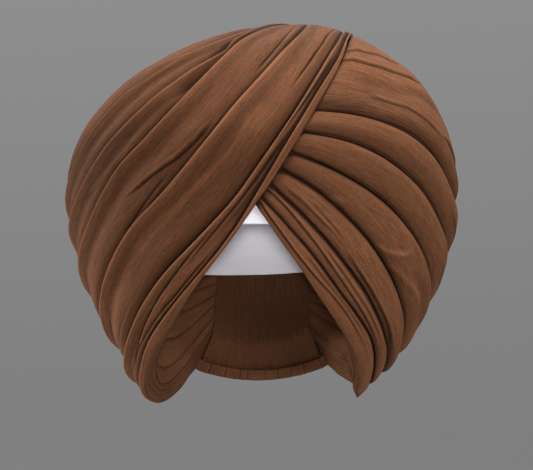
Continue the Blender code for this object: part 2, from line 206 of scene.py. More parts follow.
# Wraps: under side, free side, how far the free side stands off the form, how far the other side
# sinks, the swell between them, the rolled edge's overhang, and the lip along it, or under 0 how
# far it rounds down
# name, under side, free side, lift, sink, swell, overhang, lip
LEFT_WRAPS = (
    ("left_wrap_1", "first", "far", -0.5, 3.5, 1.5, 0.0, 0.0),
    ("left_wrap_2", "second", "first", -0.2, 6.0, 0.6, 1.6, 0.9),
    ("left_wrap_3", "third", "second", 0.0, 7.5, 0.6, 2.0, 1.1),
    ("left_wrap_4", "fourth", "third", 0.0, 8.5, 0.9, 2.2, 1.2),
    ("left_wrap_5", "band", "fourth", 0.2, 9.0, 0.8, 2.4, 1.1),
    ("front_band", "pleat", "band", 3.0, 4.5, 0.8, 1.6, 0.7),
    ("front_pleat", "opening", "pleat", 2.6, 1.0, 0.6, 0.6, 0.3),
)
RIGHT_WRAPS = (
    ("right_wrap_1", "far", "first", 0.0, 3.0, 0.8, 2.6, -4.4),
    ("right_wrap_2", "first", "second", 0.0, 7.5, 0.5, 2.6, -4.4),
    ("right_wrap_3", "second", "third", 0.0, 7.5, 0.5, 2.6, -4.4),
    ("right_wrap_4", "third", "fourth", -0.3, 7.5, 0.5, 2.4, -4.2),
    ("right_wrap_5", "fourth", "fifth", -0.8, 6.0, 0.5, 2.0, -3.4),
    ("right_wrap_6", "fifth", "sixth", -1.8, 4.0, 0.6, 1.0, -1.2),
    ("right_wrap_7", "sixth", "opening", -2.6, 3.0, 0.5, 0.0, 0.0),
)

# Where a wrap stands higher or lower along a part of its length
# wrap, millimetres, station where it is full, station where it ends
STANDS = (
    ("left_wrap_1", -3.2, 2.9, 3.6),
    ("left_wrap_1", 1.5, 1.7, 2.3),
    ("left_wrap_2", -1.0, 1.6, 2.2),
    ("left_wrap_4", -2.0, 4.8, 4.0),
    ("left_wrap_5", -2.5, 4.8, 4.0),
    ("front_band", -1.5, 4.8, 4.0),
    ("right_wrap_1", -2.6, 0.7, 1.6),
    ("right_wrap_2", 2.0, 3.4, 2.4),
    ("right_wrap_3", 2.4, 3.4, 2.4),
    ("right_wrap_4", 2.6, 3.4, 2.4),
    ("right_wrap_5", 2.0, 3.4, 2.4),
)

# Creases inside a wrap, by its name. A step drops sharply towards the free side and runs out over
# its width, and a back_step does so towards the other side. A groove and a ridge are soft.
# kind, depth, width, then station and thousandths of its arc at each place it passes
CREASES = {
    "front_band": (
        ("step", 1.4, 4, (1.5, 34, 1.8, 31, 2.1, 32, 2.3, 36, 2.5, 43, 2.7, 55)),
        ("step", 1, 3, (2.3, 24, 2.7, 36, 3, 50, 3.3, 62, 3.7, 75)),
        ("step", 3.2, 6, (3.15, 66, 3.4, 77, 3.58, 86, 3.79, 93, 4.06, 101, 4.32, 102, 4.54, 97,
         4.83, 86, 5.1, 82, 5.6, 90)),
        ("step", 3.4, 4, (3.4, 27, 3.6, 35, 3.82, 43, 3.96, 48, 4.1, 60, 4.27, 69, 4.39, 74,
         4.49, 78, 4.6, 80, 4.71, 79, 4.85, 72, 5.1, 62)),
    ),
    "left_wrap_5": (
        ("step", 2.6, 5, (0.7, 150, 1.08, 129, 1.28, 122, 1.45, 108, 1.63, 101, 1.78, 95, 1.91, 93,
         2.15, 91)),
        ("groove", 2.6, 9, (2.5, 98, 2.9, 140, 3.1, 165, 3.3, 190, 3.5, 215, 3.8, 240, 4.2, 260)),
        ("ridge", 1.1, 2.6, (2.5, 118, 2.75, 140, 3.1, 185, 3.3, 210, 3.5, 234, 3.8, 256)),
        ("step", 0.9, 5, (4, 200, 4.4, 215, 5, 235, 5.7, 260, 6.4, 300)),
        ("step", 1.1, 6, (4.3, 290, 4.8, 300, 5.4, 315, 6.2, 350)),
    ),
    "left_wrap_4": (
        ("step", 1.8, 5, (1.2, 296, 1.5, 262, 1.75, 235, 2, 217, 2.25, 208)),
        ("back_step", 1.8, 6, (2.65, 218, 2.85, 236, 3, 262, 3.15, 303, 3.3, 345, 3.42, 385)),
        ("step", 1, 4, (3.1, 262, 3.25, 285, 3.4, 305, 3.6, 330)),
        ("step", 1.1, 6, (4, 430, 4.5, 455, 5.2, 475, 6, 490, 6.6, 510)),
    ),
    "left_wrap_3": (
        ("groove", 5, 6.5, (2, 366, 2.3, 350, 2.5, 347, 2.75, 362)),
        ("ridge", 1, 2.2, (2.95, 372, 3.15, 405, 3.3, 450, 3.45, 500)),
        ("step", 0.9, 5, (4, 585, 4.6, 620, 5.3, 640, 6.2, 650)),
    ),
    "left_wrap_2": (
        ("step", 1.5, 4, (2.4, 468, 2.6, 488, 2.8, 512)),
        ("step", 0.9, 4, (3.4, 580, 3.8, 655, 4.4, 725, 5.2, 765, 6, 775)),
    ),
    "left_wrap_1": (
        ("step", 2.2, 5, (2.2, 455, 2.4, 480, 2.5, 498, 2.6, 524, 2.71, 547, 2.86, 562, 3, 571,
         3.14, 583, 3.3, 602)),
        ("step", 1, 5, (2.6, 585, 2.8, 605, 2.94, 625, 3.13, 630, 3.4, 660)),
        ("step", 1.6, 6, (1.95, 410, 2.08, 460, 2.2, 530, 2.3, 600, 2.5, 700)),
        ("step", 1.3, 6, (2.05, 420, 2.2, 480, 2.4, 560, 2.7, 660, 3.2, 760)),
        ("step", 1.5, 7, (1.6, 470, 1.8, 530, 2, 620, 2.3, 740, 2.8, 860)),
        ("step", 0.9, 2.5, (1.5, 500, 1.8, 570, 2.1, 660, 2.4, 760)),
        ("step", 0.8, 2.5, (1.7, 460, 1.95, 520, 2.15, 590, 2.35, 660)),
        ("step", 1.2, 6, (3.3, 680, 3.8, 800, 4.4, 860, 5.2, 900)),
    ),
    "right_wrap_7": (
        ("step", 1.5, 4, (0, 35, 0.5, 29, 1, 27, 1.5, 25, 2, 27, 2.3, 33, 2.6, 37, 3, 40, 3.3, 52,
         3.6, 60)),
        ("step", 1, 2.2, (1.5, 46, 2, 47, 2.5, 48, 3, 55, 3.4, 70)),
    ),
    "right_wrap_6": (
        ("step", 1.7, 4, (0, 80, 0.5, 90, 1, 94, 1.5, 93, 2, 89, 2.5, 86, 3, 89, 3.25, 98,
         3.6, 112)),
        ("step", 1.2, 2.2, (1.6, 107, 2, 106, 2.5, 104, 3, 107, 3.4, 120)),
    ),
    "right_wrap_5": (
        ("step", 1.6, 3, (1.9, 153, 2.5, 149, 3, 149, 3.25, 156, 3.6, 170)),
        ("step", 1.1, 3, (0.3, 125, 0.8, 142, 1.2, 150, 1.7, 158)),
        ("step", 0.8, 5, (0.9, 162, 1.3, 168, 1.8, 170)),
    ),
    "right_wrap_4": (
        ("step", 1.2, 2.6, (0.35, 150, 0.7, 168, 1, 182, 1.35, 208)),
        ("ridge", 2.1, 2.4, (2.1, 238, 2.3, 262, 2.4, 287, 2.5, 325)),
        ("ridge", 1.9, 2.2, (2.4, 240, 2.65, 258, 2.85, 273, 3.15, 283)),
        ("ridge", 1.5, 2, (1.08, 203, 1.2, 218, 1.4, 240)),
        ("groove", 1.4, 6, (2.6, 300, 3, 315, 3.5, 320, 4.2, 320)),
        ("step", 1.1, 5, (3.8, 300, 4.4, 310, 5, 345, 5.6, 390)),
    ),
    "right_wrap_1": (
        ("step", 1.3, 3.5, (0, 590, 0.14, 626, 0.31, 651, 0.53, 692, 0.74, 717, 1, 750)),
        ("step", 1.8, 4, (0, 538, 0.15, 565, 0.27, 578, 0.43, 597, 0.6, 621, 0.78, 644, 0.97, 676,
         1.16, 713, 1.5, 760)),
        ("groove", 1.6, 5, (0.1, 485, 0.24, 495, 0.46, 513, 0.63, 528, 0.79, 549, 0.94, 572,
         1.1, 605, 1.27, 640, 1.47, 678, 1.65, 700, 2, 740)),
        ("step", 0.9, 6, (0.6, 475, 0.96, 520, 1.18, 553, 1.53, 596, 1.9, 630)),
        ("step", 1.5, 8, (1.7, 600, 2.1, 680, 2.6, 750, 3.3, 820, 4.2, 860)),
    ),
    "right_wrap_2": (
        ("step", 1, 5, (2.4, 540, 3, 585, 3.8, 630, 4.6, 660)),
    ),
    "right_wrap_3": (
        ("step", 1.1, 5, (2.8, 440, 3.4, 455, 4.2, 460, 5, 490)),
    ),
}

# Irregular wrinkles over every wrap
# height, length along, width across, crisp
WRINKLES = (
    (0.9, 160.0, 26.0, False),
    (0.35, 95.0, 9.0, False),
    (0.4, 130.0, 12.0, True),
    (0.16, 60.0, 3.6, False),
)

# Pleats of the cover, gathered towards the nape
# share across, depth at the crown, depth at the nape, width
COVER_PLEATS = (
    (0.09, 0.4, 1.5, 0.055),
    (0.2, 0.8, 2.0, 0.05),
    (0.3, 0.5, 1.8, 0.045),
    (0.41, 1.0, 2.2, 0.05),
    (0.52, 0.5, 1.7, 0.045),
    (0.61, 0.9, 2.1, 0.05),
    (0.72, 0.6, 1.9, 0.045),
    (0.82, 0.8, 2.0, 0.05),
    (0.92, 0.4, 1.4, 0.05),
)

ORDER = [row[0] for row in LEFT_WRAPS + RIGHT_WRAPS]

# Each cloth: its setting, the shares of that colour in a dark thread, a light thread, painted shade
# in a crease and a painted highlight on an edge, and how strongly threads, that painted shade and
# highlight, and sheen show. The pitch is two threads, in metres
CLOTHS = {
    "turban_cloth": {
        "colour": "cloth_colour",
        "shares": ((0.6, 0.56, 0.53), (1.4, 1.44, 1.47), (0.09, 0.07, 0.06), (1.8, 1.9, 2.02)),
        "slub": 1.0,
        "fold": 0.9,
        "sheen": 0.04,
        "pitch": 0.0009,
    },
    "cap_cloth": {
        "colour": "cap_colour",
        "shares": (0.93, 1.05, 0.6, 1.1),
        "slub": 0.8,
        "fold": 0.5,
        "sheen": 0.0,
        "pitch": 0.0012,
    },
}

# Streaks of thicker and thinner thread
# name, bumps per metre along, bumps per metre across, detail, share
STREAKS = (
    ("thin", 45.0, 1250.0, 2.0, 0.36),
    ("fine", 110.0, 1900.0, 1.0, 0.36),
    ("weft", 1500.0, 120.0, 1.0, 0.2),
    ("broad", 7.0, 150.0, 2.0, 0.08),
)

# Stage. The camera and the lights are in metres
CAMERA_PLACE = (0.008, -1.6, -0.008)
CAMERA_LENS = 36.0 * 2162.0 / 533.0
FLOOR_LEVEL = -320.0
FLOOR_REACH = 2600.0
FLOOR_BEND = 1400.0
WORLD_LIGHT = 0.1
# name, place, aim, size, watts, spread in degrees
LIGHTS = (
    ("key", (0.5, -0.5, 2.05), (0.0, 0.0, 0.03), (0.8, 0.6), 6.0, 40),
    ("fill", (0.9, -2.1, 0.12), (0.0, 0.0, -0.02), (1.1, 0.5), 1.5, 36),
    ("front", (0.02, -1.9, 0.03), (0.012, -0.11, 0.012), (0.15, 0.15), 0.062, 7),
    ("left", (-1.7, 0.58, 0.05), (0.0, 0.0, -0.02), (0.8, 0.7), 1.85, 30),
    ("left_low", (-1.3, -0.8, -0.26), (-0.1, 0.0, -0.14), (0.3, 0.2), 0.28, 15),
    ("right", (1.6, -0.9, 0.5), (0.0, 0.0, 0.0), (0.9, 0.9), 0.75, 40),
    ("right_low", (1.3, -0.8, -0.26), (0.1, 0.0, -0.14), (0.3, 0.2), 0.1, 12),
    ("back", (0.0, 1.6, 1.5), (0.0, 0.0, 0.03), (1.4, 0.8), 2.2, 40),
)


def smooth(x):
    x = np.clip(x, 0.0, 1.0)
    return x * x * (3.0 - 2.0 * x)


def unit(vectors):
    return vectors / np.linalg.norm(vectors, axis=-1, keepdims=True)


def bell(distance, width):
    """1 at no distance, falling off softly over this width."""
    return np.exp(-((distance / width) ** 2))


def heading(azimuth, elevation):
    """The direction at this azimuth (0 is the front, 90 the viewer's right) and elevation."""
    a = np.radians(azimuth)
    e = np.radians(elevation)
    return np.stack([np.sin(a) * np.cos(e), -np.cos(a) * np.cos(e), np.sin(e)], -1)


def elevation_of(headings):
    return np.degrees(np.arcsin(headings[..., 2]))


def run_along(points):
    """Distance along a row of points, from its start."""
    return np.concatenate([[0], np.linalg.norm(np.diff(points, axis=0), axis=1).cumsum()])


def turned(start, end, share):
    """Directions a share of the way along the arc from start to end."""
    angle = np.arccos(np.clip((start * end).sum(-1), -1.0, 1.0))[..., None]
    share = np.asarray(share)[..., None]
    return unit(start * np.sin((1 - share) * angle) + end * np.sin(share * angle))


def curve(places, values, at):
    """A smooth curve through values at uneven places, level beyond both ends."""
    x, y = np.asarray(places, float), np.asarray(values, float)
    step = np.diff(x)
    slope = np.diff(y) / step
    inner = (slope[:-1] * step[1:] + slope[1:] * step[:-1]) / (step[1:] + step[:-1])
    tangent = np.concatenate([slope[:1], inner, slope[-1:]])
    i = np.clip(np.searchsorted(x, at, side="right") - 1, 0, len(x) - 2)
    u = np.clip((at - x[i]) / step[i], 0.0, 1.0)
    start = (1 + 2 * u) * (1 - u) ** 2 * y[i] + u * (1 - u) ** 2 * step[i] * tangent[i]
    end = u**2 * (3 - 2 * u) * y[i + 1] - u**2 * (1 - u) * step[i] * tangent[i + 1]
    return start + end


def path(knots, at):
    """A smooth curve through points in space, at places from 0 to the last one's number."""
    places = range(len(knots))
    return np.stack([curve(places, part, at) for part in np.transpose(knots)], -1)


def noise(x, y, seed):
    """Smooth seeded noise from -1 to 1, with one bump for each unit of x and y."""
    table = np.random.default_rng(seed).random((97, 97)) * 2 - 1
    x, y = np.broadcast_arrays(x, y)
    i, j = np.floor(x).astype(int), np.floor(y).astype(int)
    u, v = x - i, y - j
    u, v = u * u * u * (u * (6 * u - 15) + 10), v * v * v * (v * (6 * v - 15) + 10)
    i0, i1, j0, j1 = i % 97, (i + 1) % 97, j % 97, (j + 1) % 97
    low = table[i0, j0] * (1 - u) + table[i1, j0] * u
    high = table[i0, j1] * (1 - u) + table[i1, j1] * u
    return low * (1 - v) + high * v


def wrinkles(x, y, seed, share=1.0):
    """Height of the irregular wrinkles at x along and y across, in millimetres."""
    height = 0.0
    for k, (high, length, width, crisp) in enumerate(WRINKLES):
        drift = 0.35 * width * noise(x / length, y / (3 * width), seed + 50 + k)
        wave = noise(x / length, (y + drift) / width, seed + k)
        if crisp:
            wave = 0.7 - 2.2 * np.abs(wave)
        height = height + high * wave
    return height * share * bpy.context.scene.turban.wrinkle_height


def outside_form(p):
    """Over 0 outside the outer form, under 0 inside it."""
    up = p[..., 2] - FORM_Z
    x = p[..., 0] - FORM_X - TOP_RIGHT * np.clip(up / 128, 0, 1) ** 3
    x = x + FOOT_LEFT * smooth(-up / 130)
    y = p[..., 1] - FORM_Y + TOP_FORWARD * smooth(up / 110)
    front = FRONT_DEPTH_LOW + (FRONT_DEPTH_HIGH - FRONT_DEPTH_LOW) * smooth((p[..., 2] + 5) / 75)
    depth = np.where(y < 0, front, BACK_DEPTH)
    rise = (np.abs(up) / CROWN_RISE) ** CROWN_POWER
    drop = (np.abs(up) / DROP) ** DROP_POWER
    return (x / HALF_WIDTH) ** 2 + (y / depth) ** 2 + np.where(up > 0, rise, drop) - 1


def outside_head(p):
    """Over 0 outside the head hollow, under 0 inside it."""
    up = p[..., 2] - HEAD_Z
    y = p[..., 1] - HEAD_Y
    front = HEAD_FRONT - (HEAD_FRONT - HEAD_CHEEK) * smooth(-up / 70)
    back = HEAD_BACK - (HEAD_BACK - HEAD_NAPE) * smooth(-up / 100)
    depth = np.where(y < 0, front, back)
    rise = (np.abs(up) / HEAD_CROWN) ** 2
    drop = (np.abs(up) / HEAD_DROP) ** 2.4
    return (p[..., 0] / HEAD_HALF_WIDTH) ** 2 + (y / depth) ** 2 + np.where(up > 0, rise, drop) - 1


def reach(outside, headings):
    """How far a surface lies from the middle in each direction, by halving."""
    low = np.zeros(headings.shape[:-1])
    high = np.full(headings.shape[:-1], 400.0)
    for _ in range(26):
        half = (low + high) / 2
        within = outside(MIDDLE + headings * half[..., None]) < 0
        low = np.where(within, half, low)
        high = np.where(within, high, half)
    return (low + high) / 2


def form_radius(headings):
    return reach(outside_form, headings)


def hollow_radius(headings):
    """The inner face of the windings."""
    return reach(outside_head, headings) + CAP_WALL + CAP_ROOM


class Family:
    """The wraps of one side: the arcs that they cross, and their fold lines. The free side of
    every wrap is its far one where side is 1, and its near one where side is -1."""

    def __init__(self, side, stations, places, folds, wraps):
        self.side = side
        self.last = len(stations) - 1
        self.near = [heading(row[1], row[2]) for row in stations]
        self.far = [heading(row[3], row[4]) for row in stations]
        self.places = places
        self.folds = folds
        self.wraps = wraps
        self.hang = {row[2]: HANG_SHARE * row[6] for row in wraps}

    def edges(self, at):
        """The near and the far end of the arc at each place."""
        near = unit(path(self.near, at))
        if self is LEFT:
            above = at <= APEX_STATION
            near[above] = unit(near[above] - CROSSING * (near[above] @ CROSSING)[:, None])
        return near, unit(path(self.far, at))

    def width(self, at):
        """Length of the whole arc at each place."""
        near, far = self.edges(at)
        return np.arccos(np.clip((near * far).sum(-1), -1, 1)) * ARC_RADIUS

    def fold(self, name, at):
        """Where two wraps meet: the listed line is the rolled edge, which hangs over past it."""
        line = curve(self.places, np.array(self.folds[name]) / 1000, at)
        return line - self.side * self.hang.get(name, 0.0) / self.width(at)


APEX_STATION = 3.0
LEFT = Family(1, LEFT_STATIONS, LEFT_AT, LEFT_FOLDS, LEFT_WRAPS)
RIGHT = Family(-1, RIGHT_STATIONS, RIGHT_AT, RIGHT_FOLDS, RIGHT_WRAPS)
# The plane in which the right wraps go under the front band, from the apex to the ridge
CROSSING = unit(np.cross(RIGHT.near[0], RIGHT.far[0]))


def buried(family, name, at, width):
    """Where the slanted joint below a fold meets the hollow: it runs on under the wrap on top."""
    here = family.fold(name, at)
    if name in ("opening", "far"):
        return here
    names = list(family.folds)
    span = family.side * (here - family.fold(names[names.index(name) - family.side], at))
    return here - family.side * np.minimum(SLANT * span, SLANT_MOST / width)


def edge_fall(family, headings, fraction, width):
    """1 where a wrap lies under the cover, 0 where it is free of it."""
    nearest = (1 - fraction) * width[:, None]  # to the cover's side, then to its ends
    for place in (0.0, float(family.last)):
        near, far = (ends[0] for ends in family.edges(np.array([place])))
        if family is LEFT or place > 0:
            away = np.abs(headings @ unit(np.cross(near, far))) * ARC_RADIUS
            nearest = np.where(headings @ (near + far) > 0, np.minimum(nearest, away), nearest)
    return smooth(1 - (nearest - COVER_LAP - 1.5) / EDGE_RISE)


def soft_least(a, b, round_off=1.5):
    """The lesser of two heights, with a round change from one to the other."""
    share = np.clip(0.5 + 0.5 * (b - a) / round_off, 0, 1)
    return b * (1 - share) + a * share - round_off * share * (1 - share)


def below(headings, top, run):
    """0 from the elevation top up, and 1 where it is lower by run."""
    return smooth((top - elevation_of(headings)) / run)


def from_crossing(headings):
    return np.abs(headings @ CROSSING) * ARC_RADIUS


def cross_ceiling(headings):
    """The greatest height of the right wraps, which go under the front band."""
    low = below(headings, CROSS_TOP, CROSS_RUN)
    beside = np.maximum(from_crossing(headings) - 1.6, 0)
    return CROSS_LEVEL - CROSS_DEEPER * low + beside * (CROSS_SLOPE - CROSS_CALMER * low)


def stand(row, at):
    """How far the free side stands off the form: the band and its pleat stand less at the top."""
    lift = np.full(len(at), float(row[3]))
    if row[0] in ("front_band", "front_pleat"):
        share = below(LEFT.edges(at)[0], BAND_TOP, BAND_TOP_RUN)
        lift = BAND_TOP_LIFT + (lift - BAND_TOP_LIFT) * share
    for name, change, full, none in STANDS:
        if name == row[0]:
            lift = lift + change * smooth((none - at) / (none - full))
    return lift


def creases(family, name, at, fraction, width):
    """Height that the listed creases give a wrap, and their painted light: a highlight on a step's
    lip, shade just past its drop, light on a ridge and shade in a groove.
    """
    height = np.zeros_like(fraction)
    tone = np.zeros_like(fraction)
    near, far = family.edges(at)
    middle = turned(near, far, np.full(len(at), 0.4)) * ARC_RADIUS
    run = np.linalg.norm(np.gradient(middle, axis=0), axis=1) / np.gradient(at)
    for kind, depth, wide, passes in CREASES.get(name, ()):
        places, values = passes[0::2], np.array(passes[1::2]) / 1000
        centre = curve(places, values, at)
        lean = (curve(places, values, at + 0.02) - curve(places, values, at - 0.02)) / 0.04
        square = width / np.sqrt(1 + (lean * width / run) ** 2)
        side = -family.side if kind == "back_step" else family.side
        d = side * (fraction - centre[:, None]) * square[:, None]
        span = CREASE_FADE * (places[-1] - places[0])
        fade = smooth((places[-1] - at) / span)
        if places[0] > 0:
            fade = fade * smooth((at - places[0]) / span)
        fade = (fade * ((at >= places[0]) & (at <= places[-1])))[:, None]
        if kind.endswith("step"):
            low = -depth * np.exp(-np.maximum(d, 0) / wide)
            high = STEP_LIP * depth * np.exp(np.minimum(d, 0) / STEP_LIP_RUN)
            past = smooth(d / STEP_DROP_RUN + 0.5)
            height += fade * (high * (1 - past) + low * past)
            strength = min(depth / FULL_TONE_DEPTH, 1.0)
            # painted highlight on the step's lip and painted shade just past its drop
            tone += fade * strength * (0.5 * bell(d + 1.0, 1.0) - bell(d - 0.8, 0.9))
        else:
            bump = (1.0 if kind == "ridge" else -1.0) * fade * bell(d, wide)
            height += depth * bump
            # painted light on a ridge, painted shade in a groove
            tone += 0.3 * bump
    return height, tone


def level(family, row, at, fraction):
    """Height over the form of a wrap's outer face, and its painted light: that of its creases, and
    painted shade beside the front band on the right wraps.
    """
    name, under, free, _, sink, swell, _, lip = row
    width = family.width(at)
    f_under = family.fold(under, at)[:, None]
    f_free = family.fold(free, at)[:, None]
    own = np.abs(f_free - f_under) * width[:, None]
    gap = family.side * GAP / 2 / width[:, None]
    u = np.clip((fraction - f_under - gap) / (f_free - f_under - 2 * gap), 0, 1)
    from_under, from_free = u * own, (1 - u) * own
    narrow = np.clip(own / FULL_WIDTH, 0.3, 1)
    top = stand(row, at)[:, None] + swell * narrow * 4 * u * (1 - u)
    sink = np.minimum(sink, 0.4 * own)
    if family is LEFT:
        share = 0.2 + 0.8 * smooth((at - 1.2) / 1.2)[:, None]  # flatter near the ridge
        sunk = 0.35 * (1 - u) ** 2 + 0.65 * np.exp(-from_under / (LEFT_SINK_RUN * narrow))
        valley = bell(from_free - VALLEY_PLACE * narrow, VALLEY_RUN * narrow)
        lips = LIP_RISE * bell(from_free, LIP_RUN) - VALLEY_DEPTH * valley * narrow
        top = top + share * (lip * lips - sink * sunk)
    else:
        top = top - sink * np.exp(-((from_under / (RIGHT_SINK_RUN * narrow)) ** 1.2))
        top = top + lip * np.clip(1 - from_free / (ROUND_RUN * narrow), 0, 1) ** 2
    height, tone = creases(family, name, at, fraction, width)
    near, far = family.edges(at)
    along = run_along(turned(near, far, 0.5 * (f_under + f_free)[:, 0]) * ARC_RADIUS)
    share = np.clip(own.mean() / 35, 0.35, 1.0)
    headings = turned(near[:, None], far[:, None], fraction)
    low = below(headings, CALM_TOP, CALM_RUN)
    waves = wrinkles(along[:, None], u * own.mean(), 100 + 10 * ORDER.index(name), share)
    top = top + height * (1 - 0.4 * low) + waves * (1 - 0.75 * low)
    if family is RIGHT:
        top = soft_least(top, cross_ceiling(headings))
        beside = from_crossing(headings)
        # painted shade where the right wraps go under the front band, deeper lower down
        deep = 0.5 * below(headings, CROSS_SHADE_TOP, CROSS_RUN)
        tone = tone - 0.6 * bell(beside, 1.8) - deep * bell(beside, 5)
    fall = edge_fall(family, headings, fraction, width)
    return top * (1 - fall) + EDGE_LEVEL * fall, tone * (1 - fall)


def even_places(family, row):
    """Places along the family, evenly spaced on the wrap."""
    dense = np.linspace(0.0, family.last, 600)
    near, far = family.edges(dense)
    middle = 0.5 * (family.fold(row[1], dense) + family.fold(row[2], dense))
    along = run_along(turned(near, far, middle) * ARC_RADIUS)
    return np.interp(np.linspace(0, along[-1], int(along[-1] / ROW_STEP) + 1), along, dense)


def band_side(headings):
    """How far the front band's edge stands back from the crossing plane at this elevation."""
    at = np.linspace(APEX_STATION, 0.0, 61)
    edge = turned(*LEFT.edges(at), LEFT.fold("opening", at))
    return np.interp(headings[..., 2], edge[:, 2], from_crossing(edge))


def tuck_ends(points):
    """The right wraps' points, moved along to the front band's side, where they go under it."""
    away = CROSSING * np.sign((points[4, 0] - MIDDLE) @ CROSSING)
    up = elevation_of(unit(points[0] - MIDDLE))
    tucked = TUCK * smooth((30 - up) / 10) * smooth((up + 4) / 5)
    points[0] += away * (GAP - tucked)[:, None]
    straight = unit(points - MIDDLE)
    near_band = 1 - smooth(from_crossing(straight) / TUCK_RUN)
    return points - away * (band_side(straight) * near_band)[..., None]


def wound_edge(at, deep, thick, over=0.0, side_height=6.0):
    """How far the wall at the face opening stands out at each depth, and its painted shade: a round
    corner, then the edges of the wound layers, painted darker in the grooves between them. Where
    over is 1 it is a round side this high."""
    corner = np.minimum(CORNER, 0.3 * thick)
    first = np.clip(1 - deep / corner, 0, 1)
    last = np.clip(1 - (thick - deep) / INNER_CORNER, 0, 1)
    out = -corner * (1 - np.sqrt(1 - first**2)) - INNER_CORNER * (1 - np.sqrt(1 - last**2))
    place = at[:, None]
    wander = 1.3 * noise(place * 2.1, deep / 9.0, 7) + 0.5 * noise(place * 9, deep / 5, 8)
    layers = 1 - np.abs(np.sin(np.pi * (deep - 2.0 + wander) / LAYER))
    layers = -1.1 * layers**1.4 * smooth((deep - 2) / 2.5)
    layers = layers - 0.4 * (1 + noise(place * 3, deep / 14, 9))
    hang = BAND_OVERHANG * np.sqrt(np.clip(1 - (2 * deep / side_height - 1) ** 2, 0, 1))
    # painted shade in the grooves between the wound layers
    return (out + layers) * (1 - over) + hang * over, 0.4 * layers * (1 - over)


def edge_highlight(at):
    """How strong the painted highlight on the left wraps' rolled edges is: weaker near the ridge.
    """
    return (0.4 + 0.6 * smooth((at - 1.3) / 1.2))[:, None]


def outer_tone(family, row, at, from_under, from_free):
    """Painted light on a wrap's outer face: painted shade where it comes out from under a fold and
    in the broad valleys beside it, a painted highlight along a left wrap's rolled edge with painted
    shade behind it, painted shade along a right wrap's rolled edge, and a painted highlight along
    the pleat's edge at the face opening.
    """
    # painted shade where the wrap comes out from under the rolled edge above it
    sunk = -bell(np.maximum(from_under - family.hang.get(row[1], 0.0), 0), 1.3)
    wide = smooth((from_under + from_free - 25) / 30)
    if family is LEFT:
        # painted highlight on the rolled edge, painted shade in the valley behind it
        edge = 0.85 * edge_highlight(at) * bell(from_free, 0.9) - 0.45 * bell(from_free - 6.5, 4.5)
        sunk = sunk - 0.55 * np.exp(-((from_under / 10) ** 1.5)) - 0.5 * wide * bell(from_under, 24)
    else:
        # painted shade along the rolled edge and towards it
        edge = -0.6 * bell(from_free, 0.9)
        sunk = sunk - 0.4 * np.exp(-((from_free / 5) ** 1.5)) - 0.3 * wide * bell(from_free, 20)
    if row[1] == "opening":
        # painted highlight along the pleat's edge at the face opening
        sunk = 0.4 * bell(from_under, 0.9)
    return sunk + edge * (row[6] > 0)


